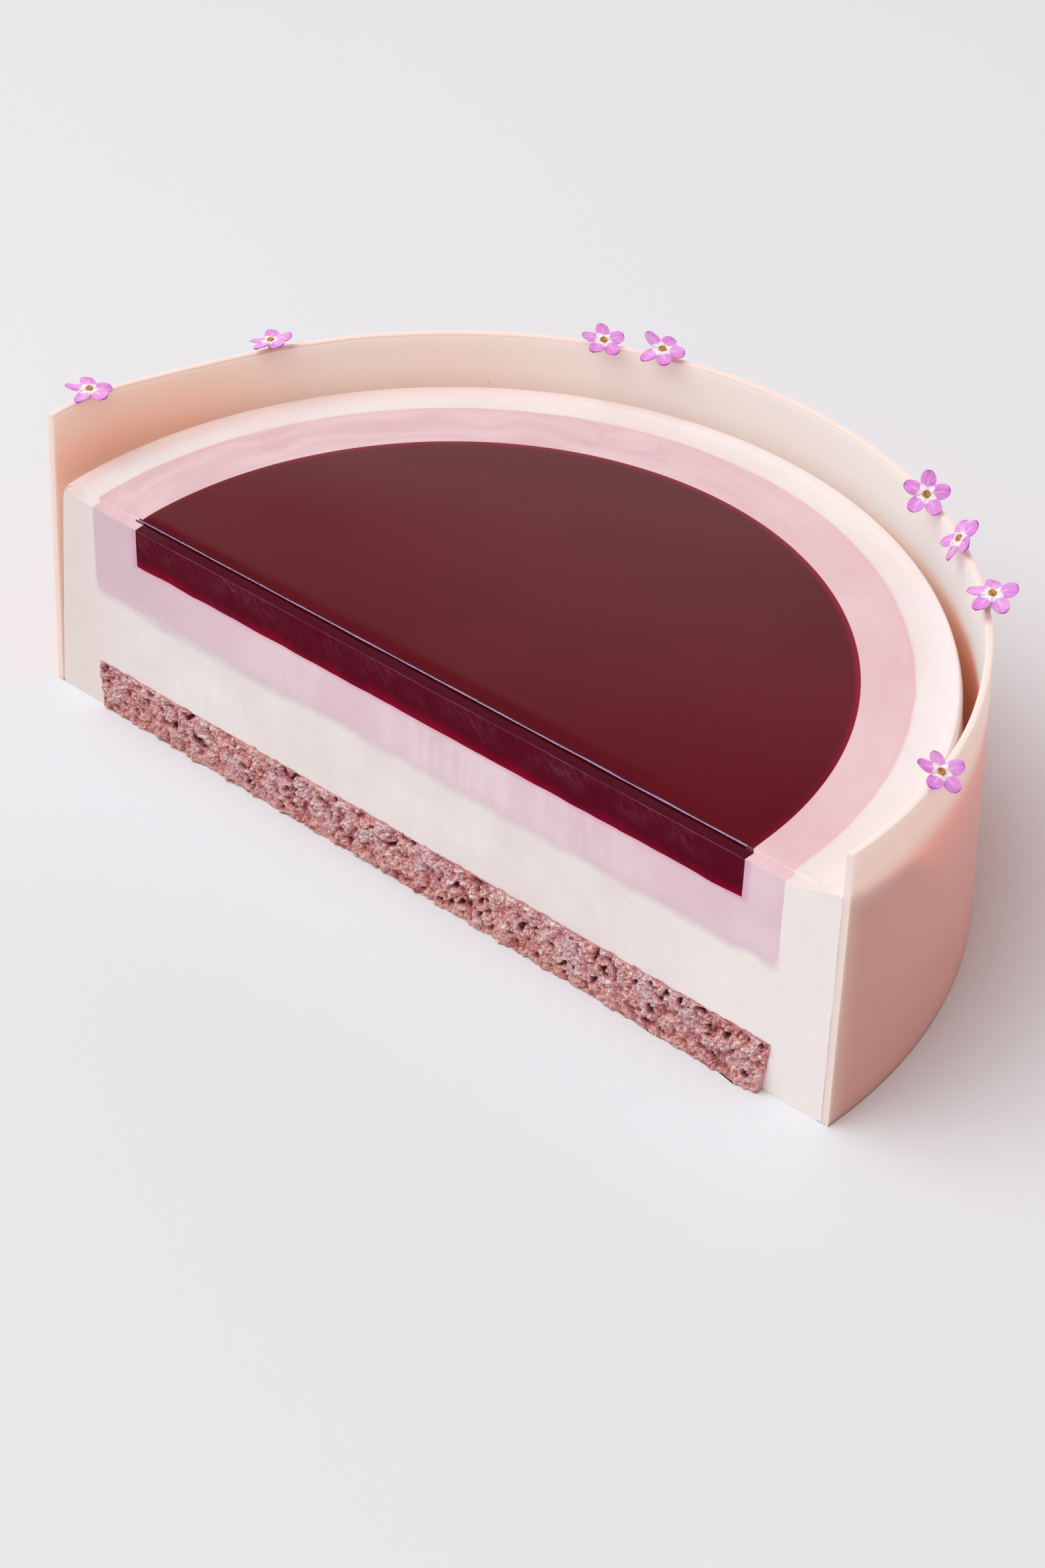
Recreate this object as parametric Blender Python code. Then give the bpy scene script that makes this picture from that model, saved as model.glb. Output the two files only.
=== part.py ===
# Half of a round raspberry and elderflower mousse cake in a thin chocolate collar, with small flowers on its rim.
# Metres, +Z up. The origin is the centre of the whole round cake on the surface that it stands on.
# The knife cut runs along X and faces -Y; it passes a little in front of the centre.

import math

import bmesh
import bpy
from mathutils import Matrix, Vector, noise

# Round of the cake
GAP = 0.0003                # clearance between pieces that touch
SEGMENTS = 96               # facets round a full circle
CAKE_FOOT_RADIUS = 0.08275
CAKE_TOP_RADIUS = 0.0800
LAYERS_TOP = 0.0389         # top of the layers, under the glaze
RIM_ROUNDING = 0.0017       # of the cream, under the glaze

# Layers
SPONGE_TOP_RADIUS = 0.0729
SPONGE_FOOT_RADIUS = 0.0722
SPONGE_HEIGHT = 0.0088
INSERT_RADIUS = 0.0727      # pink raspberry mousse
INSERT_BASE = 0.0236
INSERT_ROUNDING = 0.0017
JELLY_RADIUS = 0.0638
JELLY_BASE = 0.0320
JELLY_SHIFT = (0.0015, -0.0010)
GLAZE_THICKNESS = 0.0024    # from the top of the layers
GLAZE_ROUNDING = 0.0029     # where the glaze runs over the rim

# Knife cut
CUT_Y = -0.0079             # where the cut meets the surface below
CUT_LEAN = 0.049            # how far it leans into the cake for each unit of height

# Crumb of the sponge on the cut
CRUMB_STEP = 0.0022
CRUMB_DEPTH = 0.0007
CRUMB_SIZE = 0.0034
CRUMB_DRAG = 0.0013         # how far the knife dragged the sponge's foot out, most at the right end

# Chocolate collar
COLLAR_HEIGHT = 0.0492
COLLAR_THICKNESS = 0.00125
COLLAR_FOOT_RADIUS = 0.08435
COLLAR_TOP_RADIUS = 0.0837
COLLAR_FLARE = 0.0013       # the left end springs outwards at its top
COLLAR_LIFT = 0.0015        # and stands a little higher
COLLAR_FLARE_ANGLE = 13.0   # degrees over which the flare and the lift die away
COLLAR_LEFT_LEAN = 0.090    # the left end is trimmed more steeply than the cut

# Flowers, in metres and degrees
PETALS = 5
PETAL_STEPS = 6             # facets round each petal
PETAL_THICKNESS = 0.00035
EYE_SHARE = 0.19            # radius of the flat eye, as a share of the flower's radius
NOTCH_SHARE = 0.33          # radius at the notch between two petals
STALK_RADIUS = 0.00050
PETAL_TWIST = 0.08          # twist of a petal, as a share of the flower's radius
PETAL_ZERO = 42.2           # heading from which the spin of the petals is counted
# each: angle round the rim, how far the face lies inside and above the rim, its elevation, the way it faces,
# spin of the petals, diameter, how far each petal rises
FLOWERS = {
    "flower_1": (176.5, 0.0002, 0.0013, 91, -50, 30, 0.0081, (-13, -2, 7, -7, -3)),
    "flower_2": (153.2, -0.0001, 0.0016, 98, -10, 15, 0.0076, (4, 2, -6, -2, 1)),
    "flower_3": (113.1, 0.0011, 0.0014, 73, -23, 21, 0.0076, (1, 0, 1, 3, 0)),
    "flower_4": (105.7, 0.0009, 0.0019, 76, -37, -13, 0.0079, (-3, -11, 15, -18, 0)),
    "flower_5": (61.9, 0.0017, 0.0022, 50, -52, 8, 0.0078, (2, 6, 6, 2, 4)),
    "flower_6": (53.5, 0.0009, 0.0014, 41, -135, 1, 0.0080, (-2, -7, 4, -4, 0)),
    "flower_7": (41.1, -0.0005, 0.0032, 83, -68, 7, 0.0081, (7, -14, -11, -11, -11)),
    "flower_8": (11.0, -0.0007, 0.0015, 66, 2, 25, 0.0076, (9, -5, 7, 2, -3)),
}

# Surface of each piece: colour, roughness
FINISHES = {
    "sponge": ((0.52, 0.29, 0.29), 0.90),
    "cream": ((0.88, 0.80, 0.77), 0.50),
    "pink_mousse": ((0.80, 0.56, 0.60), 0.45),
    "jelly": ((0.16, 0.02, 0.04), 0.15),
    "glaze": ((0.80, 0.62, 0.65), 0.08),
    "chocolate": ((0.84, 0.60, 0.52), 0.35),
    "petal": ((0.74, 0.40, 0.78), 0.55),
}


def material(finish):
    """The finish as a Principled material, made once."""
    made = bpy.data.materials.get(finish)
    if made:
        return made
    colour, roughness = FINISHES[finish]
    made = bpy.data.materials.new(finish)
    made.use_nodes = True
    shader = made.node_tree.nodes["Principled BSDF"]
    shader.inputs["Base Color"].default_value = (*colour, 1.0)
    shader.inputs["Roughness"].default_value = roughness
    shader.inputs["Metallic"].default_value = 0.0
    return made


def finished(name, bm, finish):
    """Turn a closed bmesh into a named object with its finish."""
    bmesh.ops.triangulate(bm, faces=bm.faces[:])
    bmesh.ops.recalc_face_normals(bm, faces=bm.faces[:])
    mesh = bpy.data.meshes.new(name)
    bm.to_mesh(mesh)
    bm.free()
    mesh.materials.append(material(finish))
    mesh.shade_smooth()
    mesh.set_sharp_from_angle(angle=math.radians(35))
    made = bpy.data.objects.new(name, mesh)
    bpy.context.scene.collection.objects.link(made)
    return made


def arc(centre, radius, start, end, steps=4):
    """Points of a profile round an arc, from one angle in degrees to another."""
    angles = [math.radians(start + (end - start) * i / steps) for i in range(steps + 1)]
    return [(centre[0] + radius * math.cos(a), centre[1] + radius * math.sin(a)) for a in angles]


def turned(profile):
    """A solid of revolution from (radius, height) points that begin and end on the axis."""
    bm = bmesh.new()
    points = [bm.verts.new((radius, 0.0, height)) for radius, height in profile]
    edges = [bm.edges.new(pair) for pair in zip(points, points[1:])]
    bmesh.ops.spin(bm, geom=points + edges, cent=(0, 0, 0), axis=(0, 0, 1), angle=2 * math.pi,
                   steps=SEGMENTS, use_merge=True)
    bmesh.ops.remove_doubles(bm, verts=bm.verts[:], dist=0.00001)
    return bm


def trim(bm, foot, lean, side=0):
    """Cut away what lies in front of the leaning knife plane and close the cut. side -1 trims the left half only."""
    chosen = [v for v in bm.verts if side == 0 or v.co.x * side > 0]
    kept = set(chosen)
    edges = [e for e in bm.edges if all(v in kept for v in e.verts)]
    faces = [f for f in bm.faces if all(v in kept for v in f.verts)]
    cut = bmesh.ops.bisect_plane(bm, geom=chosen + edges + faces, dist=0.000001, plane_co=(0, foot, 0),
                                 plane_no=Vector((0, -1, lean)).normalized(), clear_outer=True)
    rim = [e for e in cut["geom_cut"] if isinstance(e, bmesh.types.BMEdge) and e.is_boundary]
    return bmesh.ops.edgenet_fill(bm, edges=rim)["faces"]


def make_cream():
    """Elderflower mousse: wraps the sides, and runs between the sponge and the insert."""
    pocket = INSERT_RADIUS + GAP
    floor = INSERT_BASE - GAP
    profile = [(0, SPONGE_HEIGHT + GAP), (SPONGE_TOP_RADIUS + GAP, SPONGE_HEIGHT + GAP)]
    profile += [(SPONGE_FOOT_RADIUS + GAP, 0), (CAKE_FOOT_RADIUS, 0)]
    profile += arc((CAKE_TOP_RADIUS - RIM_ROUNDING, LAYERS_TOP - RIM_ROUNDING), RIM_ROUNDING, 4, 90)
    profile += [(pocket, LAYERS_TOP)]
    profile += arc((pocket - INSERT_ROUNDING, floor + INSERT_ROUNDING), INSERT_ROUNDING, 0, -90)
    profile += [(0, floor)]
    bm = turned(profile)
    trim(bm, CUT_Y, CUT_LEAN)
    return finished("elderflower_mousse", bm, "cream")


def make_insert():
    """Raspberry mousse insert, with a pocket for the jelly disc."""
    corner = (INSERT_RADIUS - INSERT_ROUNDING, INSERT_BASE + INSERT_ROUNDING)
    pocket = JELLY_RADIUS + GAP
    profile = [(0, INSERT_BASE)] + arc(corner, INSERT_ROUNDING, -90, 0) + [(INSERT_RADIUS, LAYERS_TOP)]
    profile += [(pocket, LAYERS_TOP), (pocket, JELLY_BASE - GAP), (0, JELLY_BASE - GAP)]
    bm = turned(profile)
    inside = [v for v in bm.verts if v.co.xy.length < pocket + GAP and v.co.z > INSERT_BASE + GAP]
    bmesh.ops.translate(bm, verts=inside, vec=(*JELLY_SHIFT, 0))
    trim(bm, CUT_Y, CUT_LEAN)
    return finished("raspberry_mousse", bm, "pink_mousse")


def make_jelly():
    """Raspberry jelly disc, set a little off the middle."""
    bm = turned([(0, JELLY_BASE), (JELLY_RADIUS, JELLY_BASE), (JELLY_RADIUS, LAYERS_TOP), (0, LAYERS_TOP)])
    bmesh.ops.translate(bm, verts=bm.verts[:], vec=(*JELLY_SHIFT, 0))
    trim(bm, CUT_Y, CUT_LEAN)
    return finished("raspberry_jelly", bm, "jelly")


def make_glaze():
    """Clear glaze over the whole top, which runs over the rim in a soft round edge."""
    top = LAYERS_TOP + GLAZE_THICKNESS
    shoulder = (CAKE_TOP_RADIUS - RIM_ROUNDING, LAYERS_TOP - RIM_ROUNDING)
    over = (CAKE_TOP_RADIUS + GAP - GLAZE_ROUNDING, top - GLAZE_ROUNDING)
    profile = [(0, LAYERS_TOP + GAP)] + arc(shoulder, RIM_ROUNDING + GAP, 90, 35, 3)
    profile += arc(over, GLAZE_ROUNDING, 4, 90, 5) + [(0, top)]
    bm = turned(profile)
    trim(bm, CUT_Y, CUT_LEAN)
    return finished("clear_glaze", bm, "glaze")


def make_sponge():
    """Raspberry sponge, drawn in a little at its foot, with a crumbly cut face."""
    bm = turned([(0, 0), (SPONGE_FOOT_RADIUS, 0), (SPONGE_TOP_RADIUS, SPONGE_HEIGHT), (0, SPONGE_HEIGHT)])
    face = trim(bm, CUT_Y, CUT_LEAN)
    columns = int(2 * SPONGE_TOP_RADIUS / CRUMB_STEP)
    rows = int(SPONGE_HEIGHT / CRUMB_STEP) + 1
    lines = [((-SPONGE_TOP_RADIUS + CRUMB_STEP * (i + 0.5), 0, 0), (1, 0, 0)) for i in range(columns)]
    lines += [((0, 0, SPONGE_HEIGHT * (i + 1) / (rows + 1)), (0, 0, 1)) for i in range(rows)]
    knife = Vector((0, -1, CUT_LEAN)).normalized()
    foot = Vector((0, CUT_Y, 0))
    for point, normal in lines:
        face = [f for f in bm.faces if abs((f.calc_center_median() - foot).dot(knife)) < 0.0001]
        near = face + list({e for f in face for e in f.edges}) + list({v for f in face for v in f.verts})
        bmesh.ops.bisect_plane(bm, geom=near, dist=0.000001, plane_co=point, plane_no=normal)
    on_cut = [v for v in bm.verts if abs((v.co - foot).dot(knife)) < 0.00001]
    for v in on_cut:
        coarse = noise.noise(v.co / CRUMB_SIZE)
        fine = noise.noise(v.co / (CRUMB_SIZE * 0.4) + Vector((7, 3, 1)))
        along = 0.5 + v.co.x / (2 * SPONGE_TOP_RADIUS)
        dragged = CRUMB_DRAG * along * (1 - v.co.z / SPONGE_HEIGHT)
        v.co.y += CRUMB_DEPTH * (0.7 * coarse + 0.5 * fine) - dragged
    return finished("sponge_base", bm, "sponge")


def sprung(angle):
    """How much of the flare and the lift the collar has at an angle in degrees: all of it at its left end."""
    return math.exp(-((180.0 - angle) / COLLAR_FLARE_ANGLE) ** 2)


def collar_radius(angle, share):
    """Outer radius of the collar at an angle and a share of its height: near upright."""
    top = COLLAR_TOP_RADIUS + COLLAR_FLARE * sprung(angle)
    return COLLAR_FOOT_RADIUS + (top - COLLAR_FOOT_RADIUS) * share


def collar_height(angle):
    """Height of the collar's rim at an angle."""
    return COLLAR_HEIGHT + COLLAR_LIFT * sprung(angle)


def make_collar():
    """Chocolate collar: a thin wall on end, as wide round as the cut cake."""
    lip = COLLAR_THICKNESS / 3
    outline = [(0, 0), (0, COLLAR_HEIGHT - lip), (-lip, COLLAR_HEIGHT), (-2 * lip, COLLAR_HEIGHT)]
    outline += [(-COLLAR_THICKNESS, COLLAR_HEIGHT - lip), (-COLLAR_THICKNESS, 0)]
    bm = bmesh.new()
    start = math.radians(-12)
    points = [bm.verts.new((COLLAR_FOOT_RADIUS + inset, 0, height)) for inset, height in outline]
    section = bm.faces.new(points)
    bmesh.ops.rotate(bm, verts=points, cent=(0, 0, 0), matrix=Matrix.Rotation(start, 3, "Z"))
    bmesh.ops.spin(bm, geom=[section], cent=(0, 0, 0), axis=(0, 0, 1), angle=math.pi - 2 * start,
                   steps=int(SEGMENTS * 204 / 360) + 14)
    bmesh.ops.recalc_face_normals(bm, faces=bm.faces[:])
    for v in bm.verts:
        angle = math.degrees(math.atan2(v.co.y, v.co.x)) % 360
        angle = angle - 360 if angle > 270 else angle
        share = v.co.z / COLLAR_HEIGHT
        grown = v.co.xy.length - COLLAR_FOOT_RADIUS + collar_radius(angle, share)
        v.co = (v.co.xy.normalized() * grown).to_3d() + Vector((0, 0, collar_height(angle) * share))
    trim(bm, CUT_Y, CUT_LEAN)
    trim(bm, CUT_Y, COLLAR_LEFT_LEAN, side=-1)
    return finished("chocolate_collar", bm, "chocolate")


def petal_outline(turn, radius):
    """A point of the flower's outline. turn runs from -1 to 1 across one petal, from notch to notch."""
    if abs(turn) > 0.99:
        half = math.pi / PETALS * turn
        return Vector((math.cos(half), math.sin(half))) * NOTCH_SHARE * radius
    swing = math.radians(150) * turn
    return Vector((0.60 + 0.40 * math.cos(swing), 0.33 * math.sin(swing))) * radius


def petal_fan(radius, lifts):
    """An open fan of petals round a flat eye, facing +Z, as a polar grid."""
    count = PETALS * PETAL_STEPS
    bm = bmesh.new()
    points = [bm.verts.new((ring, 0, 0)) for ring in range(4)]
    edges = [bm.edges.new(pair) for pair in zip(points, points[1:])]
    bmesh.ops.spin(bm, geom=points + edges, cent=(0, 0, 0), axis=(0, 0, 1), angle=2 * math.pi, steps=count,
                   use_merge=True)
    bmesh.ops.remove_doubles(bm, verts=bm.verts[:], dist=0.001)
    for v in bm.verts:
        ring = round(v.co.length)
        step = round(math.atan2(v.co.y, v.co.x) / (2 * math.pi) * count)
        petal = round(step / PETAL_STEPS)
        turn = (step - petal * PETAL_STEPS) / (PETAL_STEPS / 2)
        eye = Vector((EYE_SHARE * radius * min(ring, 1), 0))
        eye.rotate(Matrix.Rotation(math.pi / PETALS * turn, 2))
        spot = eye.lerp(petal_outline(turn, radius), max(0, ring - 1) / 2)
        away = spot.length / radius
        lift = away * math.tan(math.radians(lifts[petal % PETALS])) * math.cos(math.pi / 2 * turn)
        lift += PETAL_TWIST * away * math.sin(math.pi * turn)
        spot.rotate(Matrix.Rotation(2 * math.pi / PETALS * petal, 2))
        v.co = (spot.x, spot.y, radius * lift)
    return bm


def facing_frame(elevation, heading, spin):
    """Rotation that turns +Z to face the given way, with the petals spun about it."""
    rise = math.radians(elevation)
    turn = math.radians(heading)
    normal = Vector((math.cos(rise) * math.cos(turn), math.cos(rise) * math.sin(turn), math.sin(rise)))
    across = Vector((math.cos(math.radians(PETAL_ZERO)), math.sin(math.radians(PETAL_ZERO)), 0))
    across = (across - normal * across.dot(normal)).normalized()
    frame = Matrix((across, normal.cross(across), normal)).transposed()
    return (frame @ Matrix.Rotation(math.radians(spin), 3, "Z")).to_4x4()


def make_flower(name, rim_angle, inset, rise, elevation, heading, spin, diameter, lifts):
    """A five-petalled flower on a short stalk that stands on the collar's rim."""
    radius = diameter / 2
    bm = petal_fan(radius, lifts)
    back = bmesh.ops.extrude_face_region(bm, geom=bm.faces[:])["geom"]
    moved = [g for g in back if isinstance(g, bmesh.types.BMVert)]
    bmesh.ops.translate(bm, verts=moved, vec=(0, 0, -PETAL_THICKNESS))
    eye_back = [g for g in back if isinstance(g, bmesh.types.BMFace)
                and g.calc_center_median().xy.length < EYE_SHARE * radius * 0.9]
    stalk = bmesh.ops.extrude_face_region(bm, geom=eye_back)["geom"]
    bmesh.ops.delete(bm, geom=eye_back, context="FACES_ONLY")

    out = Vector((math.cos(math.radians(rim_angle)), math.sin(math.radians(rim_angle)), 0))
    middle = collar_radius(rim_angle, 1.0) - COLLAR_THICKNESS / 2
    face = out * (middle - inset) + Vector((0, 0, collar_height(rim_angle) + rise))
    foot = out * middle + Vector((0, 0, collar_height(rim_angle) + GAP))
    bmesh.ops.transform(bm, matrix=Matrix.Translation(face) @ facing_frame(elevation, heading, spin),
                        verts=bm.verts[:])
    tip = [g for g in stalk if isinstance(g, bmesh.types.BMVert)]
    middle_of_tip = sum((v.co for v in tip), Vector()) / len(tip)
    for v in tip:
        spread = (v.co - middle_of_tip).xy
        spread = spread.normalized() * STALK_RADIUS if spread.length > STALK_RADIUS / 10 else Vector((0, 0))
        v.co = foot + spread.to_3d()
    return finished(name, bm, "petal")


def main():
    for old in list(bpy.data.objects):
        bpy.data.objects.remove(old)
    make_sponge()
    make_cream()
    make_insert()
    make_jelly()
    make_glaze()
    make_collar()
    for name, placing in FLOWERS.items():
        make_flower(name, *placing)


main()
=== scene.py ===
import math

import bmesh
import bpy
from mathutils import Matrix, Vector, noise


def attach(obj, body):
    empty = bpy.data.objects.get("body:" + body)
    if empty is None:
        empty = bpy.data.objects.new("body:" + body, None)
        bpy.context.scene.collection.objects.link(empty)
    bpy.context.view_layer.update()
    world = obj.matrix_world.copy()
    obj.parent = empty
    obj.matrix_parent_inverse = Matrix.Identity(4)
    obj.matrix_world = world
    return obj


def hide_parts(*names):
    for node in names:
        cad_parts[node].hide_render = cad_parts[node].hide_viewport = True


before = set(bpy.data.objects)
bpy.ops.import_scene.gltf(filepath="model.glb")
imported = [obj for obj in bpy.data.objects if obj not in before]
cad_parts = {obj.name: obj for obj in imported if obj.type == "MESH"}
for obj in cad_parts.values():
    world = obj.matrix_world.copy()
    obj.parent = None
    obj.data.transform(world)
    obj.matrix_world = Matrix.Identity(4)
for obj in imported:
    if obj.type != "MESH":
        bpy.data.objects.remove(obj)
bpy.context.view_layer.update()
print("frame:", len(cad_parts), "nodes")

# the round and the knife cut that all the layers share, in metres
cake = {
    "footRadius": 0.08275, "topRadius": 0.0800, "layersTop": 0.0389, "shoulder": 0.0017, "turns": 240,
    "reach": 0.083, "sliceWide": 0.0005, "sliceHigh": 0.0010
}
knife = {"footY": -0.0079, "lean": 0.049}
knife["foot"] = Vector((0, knife["footY"], 0))
knife["side"] = Vector((0, -1, knife["lean"])).normalized()     # straight out of the cut


# shaping helpers

def uneven(x, y, z):
    return noise.noise(Vector((x, y, z)))


def near(value, level, width):
    return math.exp(-((value - level) / width) ** 2)


def direction(heading, rise=0.0):
    # a unit vector from two angles in degrees
    heading, rise = math.radians(heading), math.radians(rise)
    return Vector((math.cos(rise) * math.cos(heading), math.cos(rise) * math.sin(heading), math.sin(rise)))


def arcPoints(centre, radius, start, end, steps=6, tall=None):
    # tall is the height of an arc that is an ellipse's
    angles = [math.radians(start + (end - start) * i / steps) for i in range(steps + 1)]
    return [(centre[0] + radius * math.cos(a), centre[1] + (tall or radius) * math.sin(a)) for a in angles]


def faceOut(bm):
    bmesh.ops.recalc_face_normals(bm, faces=bm.faces[:])


def spinRound(outline, steps=cake["turns"]):
    # outline is (radius, height) points, from axis to axis
    bm = bmesh.new()
    points = [bm.verts.new((r, 0, z)) for r, z in outline]
    edges = [bm.edges.new(pair) for pair in zip(points, points[1:])]
    bmesh.ops.spin(bm, geom=points + edges, cent=(0, 0, 0), axis=(0, 0, 1), angle=2 * math.pi, steps=steps,
                   use_merge=True)
    bmesh.ops.remove_doubles(bm, verts=bm.verts[:], dist=1e-6)
    faceOut(bm)
    return bm


def spinSection(outline, start, sweep, steps):
    # a closed outline swept part of the way round, with both angles in degrees
    bm = bmesh.new()
    section = bm.faces.new([bm.verts.new((r, 0, z)) for r, z in outline])
    turn = Matrix.Rotation(math.radians(start), 3, "Z")
    bmesh.ops.rotate(bm, verts=section.verts, cent=(0, 0, 0), matrix=turn)
    bmesh.ops.spin(bm, geom=[section], cent=(0, 0, 0), axis=(0, 0, 1), angle=math.radians(sweep), steps=steps)
    return bm


def knifeCut(bm, footY=knife["footY"], lean=knife["lean"], leftOnly=False):
    # takes away what lies in front of the knife and closes the cut
    chosen = [v for v in bm.verts if v.co.x < 0 or not leftOnly]
    kept = set(chosen)
    geom = chosen + [part for part in bm.edges[:] + bm.faces[:] if kept.issuperset(part.verts)]
    cut = bmesh.ops.bisect_plane(bm, geom=geom, dist=1e-7, plane_co=(0, footY, 0),
                                 plane_no=Vector((0, -1, lean)).normalized(), clear_outer=True)
    rim = [e for e in cut["geom_cut"] if isinstance(e, bmesh.types.BMEdge) and e.is_boundary]
    return bmesh.ops.edgenet_fill(bm, edges=rim)["faces"]


def around(faces):
    return list(faces) + list({e for f in faces for e in f.edges}) + list({v for f in faces for v in f.verts})


def facesOf(geom):
    return [g for g in geom if isinstance(g, bmesh.types.BMFace)]


def split(bm, geom, spot, way):
    return bmesh.ops.bisect_plane(bm, geom=geom, dist=1e-7, plane_co=spot, plane_no=way)["geom"]


def sliceEvenly(bm, faces, way, low, high, step):
    # divides the faces by parallel planes a step apart
    geom = around(faces)
    for i in range(1, int(round((high - low) / step))):
        geom = split(bm, geom, way * (low + i * step), way)
    return facesOf(geom)


acrossCut, upwards = Vector((1, 0, 0)), Vector((0, 0, 1))


def sliceCut(bm, sliceHigh=cake["sliceHigh"]):
    # cuts the piece at the knife and divides the cut finely
    face = sliceEvenly(bm, knifeCut(bm), acrossCut, -cake["reach"], cake["reach"], cake["sliceWide"])
    sliceEvenly(bm, face, upwards, 0, 0.039, sliceHigh)
    fanOut(bm)


def fanOut(bm):
    # a flat face that meets the cut is fanned from its middle, so no sliver of it can lie over the cut
    wide = [f for f in bm.faces if len(f.verts) > 4 and abs(f.normal.dot(knife["side"])) < 0.7]
    bmesh.ops.poke(bm, faces=wide)


def onKnife(spot):
    return abs((spot - knife["foot"]).dot(knife["side"])) < 2e-6


def knifeWander(spot):
    # how the blade strayed and dragged: the same for every layer, so neighbours stay joined
    x, z = spot.x * 1000, spot.z * 1000
    push = 0.10 * uneven(x / 9, z / 5, 3) + 0.03 * uneven(x / 1.6, z / 2.4, 8)
    lift = 0.20 * uneven(x / 5.2, 1, 5) * near(z, 32.0, 1.0) * (abs(x - 1.5) < 63.7)     # under the jelly
    lift += (0.55 * uneven(x / 6, 2, 9) - 0.15) * near(z, 23.6, 1.6) * (abs(x) < 72)     # under the insert
    return Vector((0, -push, lift)) / 1000


def wanderCut(bm):
    for v in bm.verts:
        if onKnife(v.co):
            v.co += knifeWander(v.co)


def newObject(name, data):
    made = bpy.data.objects.new(name, data)
    bpy.context.scene.collection.objects.link(made)
    return made


def meshObject(name, bm, materials):
    mesh = bpy.data.meshes.new(name)
    bm.to_mesh(mesh)
    bm.free()
    for material in materials:
        mesh.materials.append(material)
    return newObject(name, mesh)


def addPiece(name, bm, materials, stands=(), sharp=35, cut=False):
    # a finished piece: its place is in its mesh, and it rides on the one body
    faceOut(bm)
    if cut:
        for f in bm.faces:
            f.material_index = int(f.normal.dot(knife["side"]) > 0.75 and f.calc_center_median().y < 0)
    made = meshObject(name, bm, materials)
    made.data.shade_smooth()
    made.data.set_sharp_from_angle(angle=math.radians(sharp))
    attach(made, "root")
    if stands:
        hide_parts(*stands)
    print("piece:", name, len(made.data.polygons), "faces")
    return made


# material helpers

def rgb(r, g, b):
    # a screen colour, 0 to 255, as the shader wants it
    parts = [c / 255 for c in (r, g, b)]
    return tuple(c / 12.92 if c <= 0.04045 else ((c + 0.055) / 1.055) ** 2.4 for c in parts) + (1.0,)


class Nodes:
    # one node tree; each value given is a number, a colour or another node's output

    def __init__(self, tree):
        self.tree = tree

    def put(self, kind, sockets=None, **settings):
        made = self.tree.nodes.new(kind if "Group" in kind else "ShaderNode" + kind)
        for label, value in settings.items():
            setattr(made, label, value)
        for label, value in (sockets or {}).items():
            if isinstance(value, bpy.types.NodeSocket):
                self.tree.links.new(value, made.inputs[label])
            else:
                made.inputs[label].default_value = value
        return made

    def math(self, operation, *values):
        return self.put("Math", dict(enumerate(values)), operation=operation).outputs[0]

    def times(self, first, *others):
        for other in others:
            first = self.math("MULTIPLY", first, other)
        return first

    def timesPlus(self, value, factor, offset):
        return self.math("MULTIPLY_ADD", value, factor, offset)

    def plus(self, first, second):
        return self.math("ADD", first, second)

    def minus(self, first, second):
        return self.math("SUBTRACT", first, second)

    def size(self, value):
        return self.math("ABSOLUTE", value)

    def ramp(self, value, low, high, start=0.0, end=1.0):
        sockets = {"Value": value, "From Min": low, "From Max": high, "To Min": start, "To Max": end}
        return self.put("MapRange", sockets, interpolation_type="SMOOTHSTEP").outputs["Result"]

    def blend(self, mask, first, second):
        return self.put("Mix", {0: mask, 6: first, 7: second}, data_type="RGBA").outputs[2]

    def noise(self, vector, scale, detail, **more):
        return self.put("TexNoise", {"Vector": vector, "Scale": scale, "Detail": detail, **more}).outputs[0]

    def parts(self, vector, names):
        outputs = self.put("SeparateXYZ", {"Vector": vector}).outputs
        return [outputs[name] for name in names]

    def fromAxis(self, vector):
        flat = self.put("VectorMath", {0: vector, 1: (1, 1, 0)}, operation="MULTIPLY").outputs[0]
        return self.put("VectorMath", {0: flat}, operation="LENGTH").outputs["Value"]

    def spot(self, move=None, turn=None, scale=None):
        # object coordinates, moved, turned or stretched where that is given
        spot = self.put("TexCoord").outputs["Object"]
        given = {"Location": move, "Rotation": turn, "Scale": scale}
        given = {label: value for label, value in given.items() if value}
        return self.put("Mapping", {"Vector": spot, **given}).outputs["Vector"] if given else spot

    def leaning(self, degrees, scale):
        # turned about the way into the cut first, then stretched, so that a streak leans
        turned = self.spot(turn=(0, math.radians(degrees), 0))
        return self.put("Mapping", {"Vector": turned, "Scale": scale}).outputs[0]

    def useGroup(self, group, **sockets):
        sockets = {label.capitalize(): value for label, value in sockets.items()}
        return self.put("ShaderNodeGroup", sockets, node_tree=group).outputs["Mask"]

    def mottle(self, vector, scale=1.0, detail=3.0, spread=0.2):
        return self.useGroup(softMottle, vector=vector, scale=scale, detail=detail, spread=spread)

    def pores(self, vector, scale, size, share):
        return self.useGroup(finePores, vector=vector, scale=scale, size=size, share=share)

    def border(self, value, level, width, stray, reach):
        return self.useGroup(softBorder, value=value, level=level, width=width, stray=stray, reach=reach)


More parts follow.
